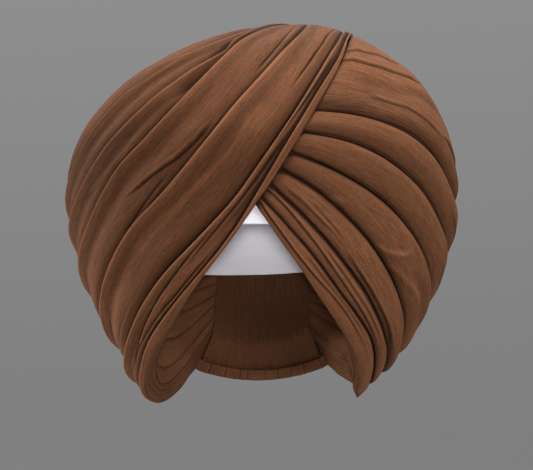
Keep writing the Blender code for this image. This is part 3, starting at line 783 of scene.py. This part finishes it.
def wrap_surface(family, row):
    """Points and tones of one wrap: over the outside, round the free edge, in along the joint,
    back along the hollow and out along the other joint. The tones are painted light: full painted
    shade in the joints and under the rolled edge, a painted highlight or shade on the roll, and a
    little painted shade in the hollow."""
    under, free, hang = row[1], row[2], row[6]
    side = family.side
    at = even_places(family, row)
    near, far = family.edges(at)
    width = family.width(at)
    column = width[:, None]
    f_under, f_free = family.fold(under, at), family.fold(free, at)
    own = np.abs(f_free - f_under) * width
    gap = side * GAP / 2 / width
    start, end = (f_under + gap)[:, None], (f_free - gap)[:, None]
    blocks = []

    def directions(fraction):
        return turned(near[:, None], far[:, None], fraction)

    def form(fraction):
        return form_radius(directions(fraction))

    def hollow(fraction):
        return hollow_radius(directions(fraction))

    def add(fraction, radius, tone):
        blocks.append(np.broadcast_arrays(fraction, radius, tone))

    u = np.linspace(0.0, 1.0, int(np.clip(own.max() / OUTER_STEP, 10, 180)))[None, :]
    outer = start + (end - start) * u
    height, tone = level(family, row, at, outer)
    radius = form(outer) + height
    tone = tone + outer_tone(family, row, at, u * own[:, None], (1 - u) * own[:, None])
    add(outer, radius, tone)
    first_radius, top_radius = radius[:, :1], radius[:, -1:]

    inner_free = (buried(family, free, at, width) - gap)[:, None]
    inner_under = (buried(family, under, at, width) + gap)[:, None]
    joint = np.linspace(0, 1, JOINT_POINTS + 2)[None, 1:-1]
    kink = JOINT_KINK * np.sin(np.pi * joint) / column  # so that no light shows through a joint
    wall = np.linspace(0, 1, WALL_POINTS)[None, :]
    if free == "opening":
        inner_free = end
        thick = top_radius - hollow(end)
        deep = thick * wall[:, 1:]
        out, tone = wound_edge(at, deep, thick)
        add(end + side * out / column, top_radius - deep, tone)
    elif free == "far":
        inner_free = end
        # painted shade on the wall that goes in at the far side
        add(end, top_radius + (hollow(end) - top_radius) * joint, -1.0)
    else:
        lower = next(r for r in family.wraps if r[1] == free)
        foot = form(end) + level(family, lower, at, end + 2 * gap[:, None])[0] + TOUCH
        foot = np.minimum(foot, top_radius - LEAST_STEP)
        step = top_radius - foot
        next_width = np.abs(family.fold(lower[2], at) - f_free) * width
        out = np.minimum(hang, 0.1 * next_width)[:, None]
        out = np.minimum(out, 0.55 * (step - LEAST_STEP))
        angle = np.radians(np.linspace(78, -90, ROLL_POINTS))[None, :]
        x = out * np.cos(angle) ** 0.9
        roll = end + side * x / column
        radius = foot + step / 2 * (1 + np.sin(angle))
        rest = np.minimum(form(roll) + level(family, lower, at, roll)[0] + TOUCH, top_radius)
        radius = np.where(x > 0.05, np.maximum(radius, rest), radius)
        # painted highlight on a left wrap's roll, painted shade on a right wrap's, full painted
        # shade under it
        bright = edge_highlight(at) if family is LEFT else -0.8
        add(roll, radius, np.where(np.degrees(angle) > 10, bright, -1.0))
        inward = end + (inner_free - end) * joint + kink
        # painted shade in the joint
        add(inward, foot + (hollow(inner_free) - foot) * joint, -1.0)

    if under == "opening":
        inner_under = start
    v = np.linspace(0, 1, int(np.clip(own.max() / INNER_STEP, 4, 26)))[None, :]
    inner = inner_free + (inner_under - inner_free) * v
    if free == "opening":
        inner = inner[:, 1:]
    if under == "opening":
        inner = inner[:, :-1]
    soft = 0.5 + 0.5 * noise(at[:, None] * 4, inner * column / 11, 31)
    # a little painted shade in the hollow
    add(inner, hollow(inner) + soft, -0.2)

    if under == "opening":
        thick = first_radius - hollow(start)
        deep = thick * wall[:, :0:-1]
        over = 1 - smooth((at - 2.75) / 0.25)[:, None]  # above the apex it lies on the right wraps
        more = BAND_SIDE_TOP * smooth((1.5 - at) / 0.8)
        out, tone = wound_edge(at, deep, thick, over, (stand(row, at) + BAND_SIDE + more)[:, None])
        add(start - side * out / column, first_radius - deep, tone)
    else:
        back = joint[:, ::-1]
        outward = start + (inner_under - start) * back + kink
        # painted shade in the joint
        add(outward, first_radius + (hollow(inner_under) - first_radius) * back, -1.0)

    fraction, radius, tone = (np.concatenate(parts, axis=1) for parts in zip(*blocks))
    points = MIDDLE + directions(fraction) * radius[..., None]
    return (tuck_ends(points) if family is RIGHT else points), tone


def lengths(points):
    """Distance along (first axis) and across (second axis) at each point, in metres."""
    along = np.linalg.norm(np.diff(points, axis=0), axis=-1).mean(axis=1)
    across = np.linalg.norm(np.diff(points, axis=1), axis=-1).mean(axis=0)
    u = np.concatenate([[0], along.cumsum()])
    v = np.concatenate([[0], across.cumsum()])
    return np.stack(np.meshgrid(u, v, indexing="ij"), -1) / 1000


def cloth_object(name, points, tone, cloth, shift=0.0):
    """A mesh from a grid of points, in this cloth. The first and the last column meet, and both
    ends are filled. The floor, which has no cloth, stays open."""
    if cloth:
        points = np.concatenate([points, points[:, :1]], axis=1)
        tone = np.concatenate([tone, tone[:, :1]], axis=1)
    rows, columns = tone.shape
    shape = bmesh.new()
    bmesh.ops.create_grid(shape, x_segments=columns - 1, y_segments=rows - 1, size=0.5)
    mesh = bpy.data.meshes.new(name)
    shape.to_mesh(mesh)
    shape.free()
    flat = np.empty(len(mesh.vertices) * 3)
    mesh.vertices.foreach_get("co", flat)
    flat = flat.reshape(-1, 3)
    i = np.rint((flat[:, 0] + 0.5) * (columns - 1)).astype(int)
    j = np.rint((flat[:, 1] + 0.5) * (rows - 1)).astype(int)
    mesh.vertices.foreach_set("co", (points[j, i] / 1000).ravel())
    corner = np.empty(len(mesh.loops), np.int32)
    mesh.loops.foreach_get("vertex_index", corner)
    places = lengths(points) + shift
    layer = mesh.uv_layers.new(name="cloth")
    layer.data.foreach_set("uv", places[j[corner], i[corner]].astype(np.float32).ravel())
    # fold_tone carries the painted shade and the painted highlights of every piece
    shade = mesh.attributes.new("fold_tone", "FLOAT", "POINT")
    shade.data.foreach_set("value", np.clip(tone, -1, 1)[j, i].astype(np.float32))
    shape = bmesh.new()
    shape.from_mesh(mesh)
    bmesh.ops.remove_doubles(shape, verts=shape.verts, dist=2e-6)
    if cloth:
        bmesh.ops.holes_fill(shape, edges=[e for e in shape.edges if e.is_boundary], sides=0)
    bmesh.ops.recalc_face_normals(shape, faces=shape.faces)
    for face in shape.faces:
        face.smooth = True
    shape.to_mesh(mesh)
    shape.free()
    mesh.materials.append(cloth_material(cloth) if cloth else floor_material())
    made = bpy.data.objects.new(name, mesh)
    bpy.context.scene.collection.objects.link(made)
    return made


def dress(obj, node):
    """Ties a piece to the frame."""
    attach(obj, "root")
    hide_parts(node)


def patch_edges(count):
    """The left and the right edge of the back: down each family's far edge, then along its last
    arc to the rim."""
    sides = []
    for family in (LEFT, RIGHT):
        down = np.linspace(0, family.last, count)
        _, far = family.edges(down)
        round_rim = np.linspace(1.0, 0.0, count // 3)[1:]
        last = family.edges(np.full(len(round_rim), float(family.last)))
        sides.append(np.vstack([far, turned(*last, round_rim)]))
    return sides


def back_grid(count, columns, room=3.3 * GAP):
    """Headings over the crown and back, a gap short of the wraps round it, and the directions
    that lead out of it at its left edge, its right edge and its front."""
    left, right = patch_edges(count)
    outward = []
    for edge, sign in ((left, 1.0), (right, -1.0)):
        run = np.gradient(edge, axis=0)
        outward.append(sign * unit(np.cross(edge, run)))
    front = unit(np.cross(right[0], left[0]))
    outward.append(front * -np.sign(front[1]))
    shares = np.linspace(0.0, 1.0, columns)
    grid = turned(left[:, None], right[:, None], np.tile(shares, (len(left), 1)))
    step = room / ARC_RADIUS
    grid[:, 0] = unit(grid[:, 0] - step * outward[0])
    grid[:, -1] = unit(grid[:, -1] - step * outward[1])
    grid[0] = unit(grid[0] - step * outward[2])
    return grid, outward


def with_laps(grid, outward, steps):
    """The same grid with further columns on each side and further rows in front, at these
    distances, and how far each point is from the outer edge."""
    left, right, front = outward
    steps = np.asarray(steps, float)
    angles = steps / ARC_RADIUS
    back = angles[::-1]
    left_block = grid[:, :1] + back[None, :, None] * left[:, None]
    right_block = grid[:, -1:] + angles[None, :, None] * right[:, None]
    body = np.concatenate([left_block, grid, right_block], axis=1)
    b = back[:, None, None]
    rows = [grid[:1] + b * front]
    for place, side, across in ((0, left[0], back), (2, right[0], angles)):
        lean = side @ front
        a = across[None, :, None]
        corner = ((a - lean * b) * side + (b - lean * a) * front) / (1 - lean**2)
        rows.insert(place, grid[0, 0 if place == 0 else -1] + corner)
    whole = unit(np.concatenate([np.concatenate(rows, axis=1), body], axis=0))
    last = steps[-1]
    inward = last - steps[::-1]
    columns_in = np.concatenate([inward, np.full(grid.shape[1], last), last - steps])
    rows_in = np.concatenate([inward, np.full(grid.shape[0], last)])
    return whole, np.minimum(rows_in[:, None], columns_in[None, :])


def slab(top, under, tone, wall=3):
    """A closed sheet between two grids of points, as one ring for each row, with painted shade on
    its walls and more on its underside.
    """
    shares = np.linspace(0, 1, wall + 2)[1:-1]

    def ring(a, b, shade):
        right = [a[-1] + (b[-1] - a[-1]) * s for s in shares]
        left = [b[0] + (a[0] - b[0]) * s for s in shares]
        points = np.vstack([a, right, b[::-1], left])
        # painted shade on the walls and the underside
        tones = np.concatenate([shade, np.full(wall, -0.5), shade[::-1] - 0.3, np.full(wall, -0.5)])
        return points, tones

    ends = np.linspace(1, 0, wall + 2)[:-1]
    order = [(0, s) for s in ends] + [(j, 0.0) for j in range(len(top))]
    order += [(-1, s) for s in ends[::-1]]
    rings = [ring(top[j] + (under[j] - top[j]) * s, under[j], tone[j]) for j, s in order]
    points, tones = zip(*rings)
    return np.array(points), np.array(tones)


def feed(tree, node, inputs):
    """Gives a node's inputs, by name or as i and a number, values or links from outputs."""
    for key, value in inputs.items():
        numbered = key[0] == "i" and key[1:].isdigit()
        socket = node.inputs[int(key[1:]) if numbered else key.replace("_", " ")]
        if isinstance(value, bpy.types.NodeSocket):
            tree.links.new(value, socket)
        else:
            socket.default_value = value


def add_node(tree, kind, settings=None, **inputs):
    """A shader node with its settings and its inputs."""
    node = tree.nodes.new(kind)
    for key, value in (settings or {}).items():
        setattr(node, key, value)
    feed(tree, node, inputs)
    return node


def new_surface(name):
    """A new material, its node tree and its shader."""
    coat = bpy.data.materials.new(name)
    coat.use_nodes = True
    return coat, coat.node_tree, coat.node_tree.nodes["Principled BSDF"]


def math_node(tree, operation, a, b=0.0, c=0.0):
    node = add_node(tree, "ShaderNodeMath", {"operation": operation}, i0=a, i1=b, i2=c)
    return node.outputs[0]


def streaks(tree, uv, along, across, detail):
    """Noise drawn out along the cloth: along and across are its bumps per metre."""
    stretched = add_node(
        tree, "ShaderNodeVectorMath", {"operation": "MULTIPLY"}, i0=uv, i1=(along, across, 0.0)
    )
    made = add_node(
        tree,
        "ShaderNodeTexNoise",
        {"noise_dimensions": "2D"},
        Vector=stretched.outputs[0],
        Scale=1.0,
        Detail=detail,
        Roughness=0.6,
    )
    return made.outputs["Fac"]


def weave(tree, uv, pitch):
    """Threads over and under each other, from 0 to 1."""
    turn = 2 * math.pi / pitch
    parts = add_node(tree, "ShaderNodeSeparateXYZ", i0=uv).outputs
    angles = [math_node(tree, "MULTIPLY", parts[k], turn) for k in (0, 1)]
    crossed = math_node(tree, "MULTIPLY", *[math_node(tree, "SINE", angle) for angle in angles])
    return math_node(tree, "MULTIPLY_ADD", crossed, 0.5, 0.5)


def spread(tree, value, low, high, clamp=False):
    """The value from low to high, stretched from 0 to 1."""
    node = add_node(
        tree, "ShaderNodeMapRange", {"clamp": clamp}, Value=value, From_Min=low, From_Max=high
    )
    return node.outputs[0]


def mixed(tree, share, first, second):
    """The first colour, with this share of the second."""
    node = add_node(tree, "ShaderNodeMix", {"data_type": "RGBA"}, i0=share, i6=first, i7=second)
    return node.outputs[2]


def cloth_material(kind):
    """Woven cotton, made once for each kind: slubby streaks along the cloth, grain, patches, and
    painted shade in creases and painted highlights on edges, from the fold_tone attribute."""
    name = kind + "_look"
    if name in bpy.data.materials:
        return bpy.data.materials[name]
    look, settings = CLOTHS[kind], bpy.context.scene.turban
    base = np.array(getattr(settings, look["colour"])[:])
    # crease and edge are the colours of the painted shade and the painted highlight
    dark, light, crease, edge = [
        (*np.minimum(base * share, 0.95).tolist(), 1.0) for share in look["shares"]
    ]
    slub = look["slub"] * settings.slub_strength
    coat, tree, shader = new_surface(name)

    def multiplied(a, b, more=0.0):
        return math_node(tree, "MULTIPLY_ADD", a, b, more)

    uv = add_node(tree, "ShaderNodeUVMap", {"uv_map": "cloth"}).outputs["UV"]
    place = add_node(tree, "ShaderNodeTexCoord").outputs["Object"]
    patches = add_node(
        tree, "ShaderNodeTexNoise", Vector=place, Scale=16.0, Detail=3.0, Roughness=0.55
    ).outputs["Fac"]
    grain = streaks(tree, uv, 900.0, 1500.0, 1.0)
    parts = {"grain": (grain, 0.9), "patches": (patches, 0.4)}
    for key, along, across, detail, share in STREAKS:
        parts[key] = (spread(tree, streaks(tree, uv, along, across, detail), 0.3, 0.7), share)
    value = 0.5
    for part, share in parts.values():
        value = multiplied(math_node(tree, "SUBTRACT", part, 0.5), share * slub, value)
    slubs = spread(tree, streaks(tree, uv, 22.0, 850.0, 1.0), 0.6, 0.74, True)
    shade = mixed(tree, multiplied(slubs, 0.35 * slub, value), dark, light)
    folds = add_node(tree, "ShaderNodeAttribute", {"attribute_name": "fold_tone"}).outputs["Fac"]
    # fold_tone over 0 paints a highlight in the edge colour, under 0 paints shade in the crease
    # colour
    for sign, colour in ((1.0, edge), (-1.0, crease)):
        share = math_node(tree, "MAXIMUM", multiplied(folds, sign))
        shade = mixed(tree, multiplied(share, look["fold"]), shade, colour)
    thin, fine = parts["thin"][0], parts["fine"][0]
    roughness = add_node(tree, "ShaderNodeMapRange", Value=thin, To_Min=0.91, To_Max=0.79)
    height = multiplied(thin, 0.45, multiplied(weave(tree, uv, look["pitch"]), 0.25))
    height = multiplied(fine, 0.3, multiplied(grain, 0.4, height))
    bumped = add_node(tree, "ShaderNodeBump", Strength=0.4, Distance=0.0006, Height=height)
    inputs = {
        "Base Color": shade,
        "Roughness": roughness.outputs[0],
        "Specular IOR Level": 0.08,
        "Sheen Weight": look["sheen"],
        "Sheen Roughness": 0.35,
        "Sheen Tint": (*[min(3.0 * c, 1.0) for c in light[:3]], 1.0),
        "Normal": bumped.outputs[0],
    }
    feed(tree, shader, inputs)
    return coat


def add_wraps(family, start):
    """The wraps whose names start so."""
    for row in family.wraps:
        if not row[0].startswith(start):
            continue
        points, tone = wrap_surface(family, row)
        shift = 0.9 * ORDER.index(row[0])  # so that no two wraps show the same threads
        made = cloth_object(row[0] + "_cloth", points, tone, "turban_cloth", shift)
        dress(made, row[0])


def add_back_winding():
    grid, _ = back_grid(60, 60, 1.3 * GAP)
    down = np.linspace(0, 1, grid.shape[0])[:, None]
    across = np.linspace(0, 1, grid.shape[1])[None, :]
    top = form_radius(grid) - BACK_SINK + 0.3 * noise(down * 30, across * 5, 61)
    low = hollow_radius(grid) + 0.5 + 0.5 * noise(down * 26, across * 4, 62)
    outer, inner = (MIDDLE + grid * radius[..., None] for radius in (top, low))
    # the whole winding painted a little into shade
    points, tones = slab(outer, inner, np.full(grid.shape[:2], -0.2), wall=6)
    made = cloth_object("back_winding_cloth", points, tones, "turban_cloth", 20.0)
    dress(made, "back_winding")


def add_crown_cover():
    """The last length of cloth, spread over the crown and tucked in at the nape."""
    whole, inside = with_laps(*back_grid(150, 150), (1.0, 2.0, 3.0, 4.0, 4.8, 5.5, COVER_LAP))
    rows, columns = inside.shape
    down = smooth(np.linspace(0, 1, rows))[:, None]
    across = np.linspace(0, 1, columns)[None, :]
    height = np.zeros((rows, columns))
    tone = np.zeros((rows, columns))
    for k, (place, at_crown, at_nape, width) in enumerate(COVER_PLEATS):
        bend = 0.045 * noise(np.linspace(0, 3, rows)[:, None], 0.5, 70 + k)
        depth = at_crown + (at_nape - at_crown) * down
        d = (across - place - bend) / width
        past = smooth(d / 0.16 + 0.5)
        low = -depth * np.exp(-np.maximum(d, 0) / 0.55)
        height += 0.6 * depth * bell(np.minimum(d, 0), 0.7) * (1 - past) + low * past
        # painted highlight on each pleat's crest, painted shade in its fold
        tone += 0.5 * bell(d + 0.1, 0.12) - 0.8 * bell(d - 0.1, 0.12)
    height += wrinkles(np.linspace(0, 420, rows)[:, None], across * 300, 400, 0.9)
    from_rim = np.linspace(300, 0, rows)[:, None]
    flat = smooth(inside / 9.0) * (0.12 + 0.88 * smooth(from_rim / 26))
    height = np.maximum(height * flat - 2.6 * (1 - inside / COVER_LAP) ** 2, -3.6)
    rounded = np.clip(1 - (1 - np.minimum((inside + 0.15) / 1.4, 1)) ** 2, 0.05, 1)
    thick = COVER_THICK * np.sqrt(rounded)
    centre = MIDDLE + whole * (form_radius(whole) + height - COVER_THICK / 2)[..., None]
    # the lower edge turns in under the rim
    radial = whole[-1]
    run_down = unit(whole[-1] - whole[-4])
    run_down = unit(run_down - radial * (run_down * radial).sum(-1, keepdims=True))
    more_centre, more_normal = [], []
    for turn in np.radians(np.linspace(10, 90, 9)):
        forward, back = TURN_RADIUS * math.sin(turn), TURN_RADIUS * (1 - math.cos(turn))
        more_centre.append(centre[-1] + run_down * forward - radial * back)
        more_normal.append(radial * math.cos(turn) + run_down * math.sin(turn))
    turned_in = more_centre[-1]
    for far_in in (1.5, 3.0, 4.5, 6.0, 7.5):
        more_centre.append(turned_in - radial * far_in)
        more_normal.append(run_down)
    more = len(more_centre)
    thick = np.concatenate([thick, np.tile(thick[-1], (more, 1))])
    tone = np.concatenate([tone * flat, np.tile(tone[-1], (more, 1))])
    centre = np.concatenate([centre, more_centre])
    half = np.concatenate([whole, more_normal]) * (thick / 2)[..., None]
    points, tones = slab(centre + half, centre - half, tone, wall=2)
    made = cloth_object("crown_cover_cloth", points, tones, "turban_cloth", 22.0)
    dress(made, "crown_cover")


def front_rim():
    """The elevation, from the middle, of the cap's outer surface at the forehead at z = 0."""
    low, high = -30.0, 0.0
    for _ in range(30):
        half = (low + high) / 2
        straight = heading(0.0, half)
        radius = reach(outside_head, straight) + CAP_WALL
        if MIDDLE[2] + straight[2] * radius < 0:
            low = half
        else:
            high = half
    return half


def add_under_cap():
    """A close cotton cap with a narrow hem."""
    azimuth = np.linspace(0, 360, CAP_COLUMNS + 1)
    back_share = smooth((160 - np.abs(azimuth - 180)) / 130)
    rim = front_rim() + (CAP_BACK_RIM - front_rim()) * back_share
    share = np.linspace(0, 1, CAP_ROWS) ** 1.15
    elevation = rim[:, None] + (90 - rim[:, None]) * share[None, :]
    headings = heading(azimuth[:, None], elevation)
    head = reach(outside_head, headings)
    from_rim = np.radians(elevation - rim[:, None]) * 95
    hem = HEM_RISE * (1 - smooth((from_rim - HEM) / 0.8)) - 0.22 * bell(from_rim - HEM + 1, 0.7)
    turn = azimuth[:, None] / 360
    soft = noise(turn * 24 % 24, elevation / 30, 91) * smooth((90 - elevation) / 25)
    fade = np.minimum(np.minimum(turn, 1 - turn) * 40, 1) * smooth(from_rim / 12)
    outer = MIDDLE + headings * (head + CAP_WALL + hem + 0.35 * soft * fade)[..., None]
    inner = MIDDLE + headings * (head + 0.2)[..., None]
    middle = (outer[:, :1] + inner[:, :1]) / 2 - np.array([0, 0, 0.5])
    points = np.concatenate([outer, inner[:, ::-1], middle], axis=1)
    tone = np.zeros(points.shape[:2])
    made = cloth_object("under_cap_cloth", points, tone, "cap_cloth", 30.0)
    dress(made, "under_cap")


def floor_material():
    """A dull pale surface that glows a little, and more so higher up."""
    coat, tree, shader = new_surface("floor_look")
    colour = bpy.context.scene.turban.floor_colour
    place = add_node(tree, "ShaderNodeTexCoord").outputs["Object"]
    up = add_node(tree, "ShaderNodeSeparateXYZ", i0=place).outputs[2]
    glow = add_node(
        tree, "ShaderNodeMapRange", Value=up, From_Min=-0.4, From_Max=0.9, To_Min=0.86, To_Max=1.2
    )
    inputs = {
        "Base Color": (*[0.5 * c for c in colour], 1.0),
        "Roughness": 1.0,
        "Specular IOR Level": 0.0,
        "Emission Color": (*colour, 1.0),
        "Emission Strength": glow.outputs[0],
    }
    feed(tree, shader, inputs)
    return coat


def add_floor():
    """A pale floor that curves up all round into a low wall."""
    turn = np.linspace(0, 2 * math.pi, 97)[:, None]
    flat = np.linspace(0, FLOOR_REACH, 14)
    bend = np.radians(np.linspace(6, 90, 15))
    last = FLOOR_REACH + FLOOR_BEND
    out = np.concatenate([flat, FLOOR_REACH + FLOOR_BEND * np.sin(bend), np.full(4, last)])
    wall = FLOOR_BEND + np.array([300, 600, 900, 1200])
    rise = np.concatenate([np.zeros(14), FLOOR_BEND * (1 - np.cos(bend)), wall]) + FLOOR_LEVEL
    points = np.stack([np.sin(turn) * out, -np.cos(turn) * out, np.tile(rise, (len(turn), 1))], -1)
    cloth_object("floor", points, np.zeros(points.shape[:2]), None)


def add_lights():
    for name, place, aim, size, watts, spread_angle in LIGHTS:
        light = bpy.data.lights.new(name, "AREA")
        light.shape = "RECTANGLE"
        light.size, light.size_y = size
        light.energy = watts * bpy.context.scene.turban.light_power
        light.spread = math.radians(spread_angle)
        made = bpy.data.objects.new(name, light)
        made.location = place
        x, y, z = np.array(aim) - np.array(place)
        made.rotation_euler = (math.atan2(math.hypot(x, y), -z), 0.0, math.atan2(-x, y))
        bpy.context.scene.collection.objects.link(made)
    world = bpy.data.worlds.new("studio")
    world.use_nodes = True
    background = world.node_tree.nodes["Background"]
    feed(world.node_tree, background, {"Color": (1.0, 1.0, 1.0, 1.0), "Strength": WORLD_LIGHT})
    bpy.context.scene.world = world


def add_camera():
    camera = bpy.data.cameras.new("camera")
    camera.sensor_width = 36.0
    camera.lens = CAMERA_LENS
    camera.clip_start = 0.05
    camera.clip_end = 30.0
    made = bpy.data.objects.new("camera", camera)
    made.location = CAMERA_PLACE
    made.rotation_euler = (math.radians(90), 0, 0)
    bpy.context.scene.collection.objects.link(made)
    bpy.context.scene.camera = made


class TurbanSettings(bpy.types.PropertyGroup):
    cloth_colour: FloatVectorProperty(
        name="Cloth", description="Colour of the turban cloth", subtype="COLOR", size=3,
        min=0.0, max=1.0, default=(0.1085, 0.0433, 0.0192),
    )
    cap_colour: FloatVectorProperty(
        name="Cap", description="Colour of the under-cap", subtype="COLOR", size=3,
        min=0.0, max=1.0, default=(0.68, 0.665, 0.7),
    )
    floor_colour: FloatVectorProperty(
        name="Floor", description="Colour of the floor", subtype="COLOR", size=3,
        min=0.0, max=1.0, default=(0.22, 0.2205, 0.223),
    )
    slub_strength: FloatProperty(
        name="Slub", description="How strongly the slubby threads show", subtype="FACTOR",
        min=0.0, max=2.0, default=1.0,
    )
    wrinkle_height: FloatProperty(
        name="Wrinkles", description="Height of the irregular wrinkles, 1 is as in the photo",
        subtype="FACTOR", min=0.0, max=2.0, default=1.0,
    )
    light_power: FloatProperty(
        name="Light", description="Power of all the lights, 1 is the studio setting",
        subtype="FACTOR", min=0.0, max=4.0, default=1.0,
    )


class TURBAN_OT_left_wraps(bpy.types.Operator):
    """Build the wraps that cross from the left"""

    bl_idname = "turban.left_wraps"
    bl_label = "Left Wraps"

    def execute(self, context):
        add_wraps(LEFT, "left_wrap")
        return {"FINISHED"}


class TURBAN_OT_front_band(bpy.types.Operator):
    """Build the front band and the pleat along the face opening"""

    bl_idname = "turban.front_band"
    bl_label = "Front Band"

    def execute(self, context):
        add_wraps(LEFT, "front")
        return {"FINISHED"}


class TURBAN_OT_right_wraps(bpy.types.Operator):
    """Build the puffed wraps of the right side"""

    bl_idname = "turban.right_wraps"
    bl_label = "Right Wraps"

    def execute(self, context):
        add_wraps(RIGHT, "right_wrap")
        return {"FINISHED"}


class TURBAN_OT_back(bpy.types.Operator):
    """Build the winding at the back and the cover over the crown"""

    bl_idname = "turban.back"
    bl_label = "Back and Crown"

    def execute(self, context):
        add_back_winding()
        add_crown_cover()
        return {"FINISHED"}


class TURBAN_OT_under_cap(bpy.types.Operator):
    """Build the white under-cap"""

    bl_idname = "turban.under_cap"
    bl_label = "Under-cap"

    def execute(self, context):
        add_under_cap()
        return {"FINISHED"}


class TURBAN_OT_stage(bpy.types.Operator):
    """Add the floor, the lights and the camera"""

    bl_idname = "turban.stage"
    bl_label = "Stage"

    def execute(self, context):
        add_floor()
        add_lights()
        add_camera()
        context.scene.view_settings.view_transform = "Standard"
        return {"FINISHED"}


OPERATORS = (
    TURBAN_OT_left_wraps,
    TURBAN_OT_front_band,
    TURBAN_OT_right_wraps,
    TURBAN_OT_back,
    TURBAN_OT_under_cap,
    TURBAN_OT_stage,
)


class TURBAN_PT_panel(bpy.types.Panel):
    """The turban's settings and its builders"""

    bl_idname = "TURBAN_PT_panel"
    bl_label = "Turban"
    bl_space_type = "VIEW_3D"
    bl_region_type = "UI"
    bl_category = "Turban"

    def draw(self, context):
        settings = context.scene.turban
        for key in TurbanSettings.__annotations__:
            self.layout.prop(settings, key)
        for operator in OPERATORS:
            self.layout.operator(operator.bl_idname)


CLASSES = (TurbanSettings, *OPERATORS, TURBAN_PT_panel)


def register():
    for item in CLASSES:
        bpy.utils.register_class(item)
    bpy.types.Scene.turban = PointerProperty(type=TurbanSettings)


def unregister():
    del bpy.types.Scene.turban
    for item in reversed(CLASSES):
        bpy.utils.unregister_class(item)


def main():
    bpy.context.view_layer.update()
    register()
    bpy.ops.turban.left_wraps()
    bpy.ops.turban.front_band()
    bpy.ops.turban.right_wraps()
    bpy.ops.turban.back()
    bpy.ops.turban.under_cap()
    bpy.ops.turban.stage()


if __name__ == "__main__":
    main()
